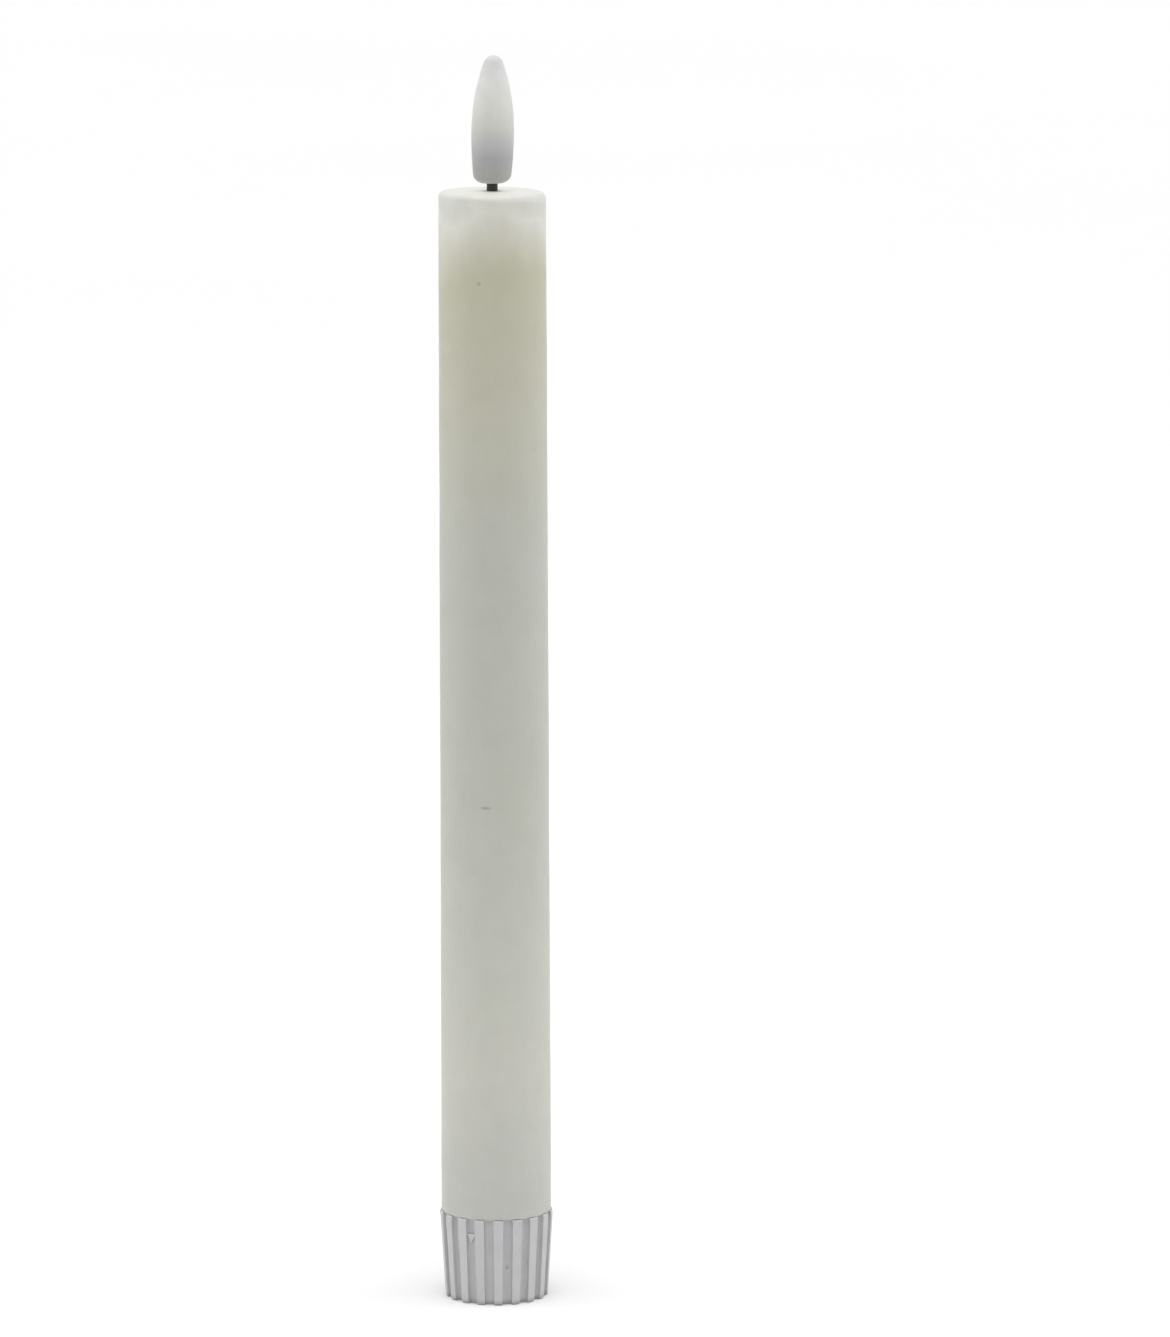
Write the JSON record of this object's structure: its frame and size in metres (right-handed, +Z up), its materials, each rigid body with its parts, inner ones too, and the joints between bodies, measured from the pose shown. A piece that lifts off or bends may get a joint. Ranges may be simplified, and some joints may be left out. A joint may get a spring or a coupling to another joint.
{
  "type": "flameless led candle",
  "caption": "Slim battery taper candle with a wax-covered tube, a frosted flame lit from inside, and a ribbed foot that unscrews to change the cells and carries a slide switch underneath.",
  "frame": {"origin": "centre of the foot's underside, on the surface the candle stands on", "axes": "+Z up the candle's axis to the flame's tip; -Y is the front, where the alignment arrow sits a little to the left; +X is to the viewer's right"},
  "size_m": [0.0228, 0.0228, 0.25],
  "materials": {
    "wax": "satin paraffin wax, ivory at the top and whiter below",
    "flame_frosted": "frosted translucent white",
    "flame_base_plastic": "moulded white",
    "wick_black": "matt black sleeve",
    "foot_plastic": "moulded white, fine satin",
    "neck_plastic": "moulded white, semi-gloss",
    "tube_plastic": "moulded off-white",
    "sleeve_plastic": "moulded natural white",
    "holder_plastic": "moulded black",
    "knob_plastic": "moulded black",
    "switch_steel": "tin-plated pressed steel",
    "contact_steel": "nickel-plated strip",
    "wiper_brass": "sprung brass leaf",
    "screw_steel": "zinc-plated",
    "spring_steel": "nickel-plated wire",
    "circuit_board": "green solder mask on laminate",
    "chip_black": "moulded epoxy",
    "capacitor_sleeve": "shrink sleeve over an aluminium can",
    "crystal_can": "drawn metal can",
    "resistor_ceramic": "glazed film on ceramic",
    "solder": "reflowed tin",
    "cell_steel": "nickel-plated can",
    "cell_jacket": "plain shrink jacket, no marks",
    "red_insulation": "PVC",
    "black_insulation": "PVC",
    "led_epoxy": "warm-white diffused epoxy, unlit",
    "lead_wire": "tinned lead"
  },
  "bodies": {
    "foot": {"foot_shell": "foot_plastic", "neck_insert": "neck_plastic", "ring_contact": "contact_steel", "spring_plate": "contact_steel", "battery_spring": "spring_steel", "switch_frame": "switch_steel", "switch_board": "circuit_board", "board_screws": "screw_steel", "switch_pins": "switch_steel", "switch_solder": "solder"},
    "switch_knob": {"switch_slider": "knob_plastic", "switch_wiper": "wiper_brass"},
    "batteries": {"lower_cell": "cell_steel", "lower_cell_jacket": "cell_jacket", "upper_cell": "cell_steel", "upper_cell_jacket": "cell_jacket"},
    "candle": {"wax_shell": "wax", "core_tube": "tube_plastic", "battery_sleeve": "sleeve_plastic", "negative_strip": "contact_steel", "positive_contact": "contact_steel", "contact_carrier": "holder_plastic", "control_board": "circuit_board", "timer_chip": "chip_black", "capacitor": "capacitor_sleeve", "crystal": "crystal_can", "resistors": "resistor_ceramic", "led_driver": "chip_black", "board_solder": "solder", "board_holder": "holder_plastic", "red_wire": "red_insulation", "black_wire": "black_insulation", "wick_plug": "tube_plastic", "wick_sleeve": "wick_black", "led_lens": "led_epoxy", "led_leads": "lead_wire", "flame_shell": "flame_frosted", "flame_base": "flame_base_plastic"}
  },
  "joints": [
    {"name": "screw_lift", "type": "slide", "parent": "foot", "child": "batteries", "axis": [0, 0, 1], "range_m": [0, 0.0045], "deforming": ["battery_spring"]},
    {"name": "screw_turn", "type": "hinge", "parent": "batteries", "child": "candle", "pos_m": [0, 0, 0.0176], "axis": [0, 0, 1], "range_deg": [0, 180]},
    {"name": "switch_slide", "type": "slide", "parent": "foot", "child": "switch_knob", "axis": [1, 0, 0], "range_m": [0, 0.002]}
  ],
  "couplings": [
    {"joint": "screw_turn", "follows": "screw_lift", "rad_per_m": 698.13}
  ]
}
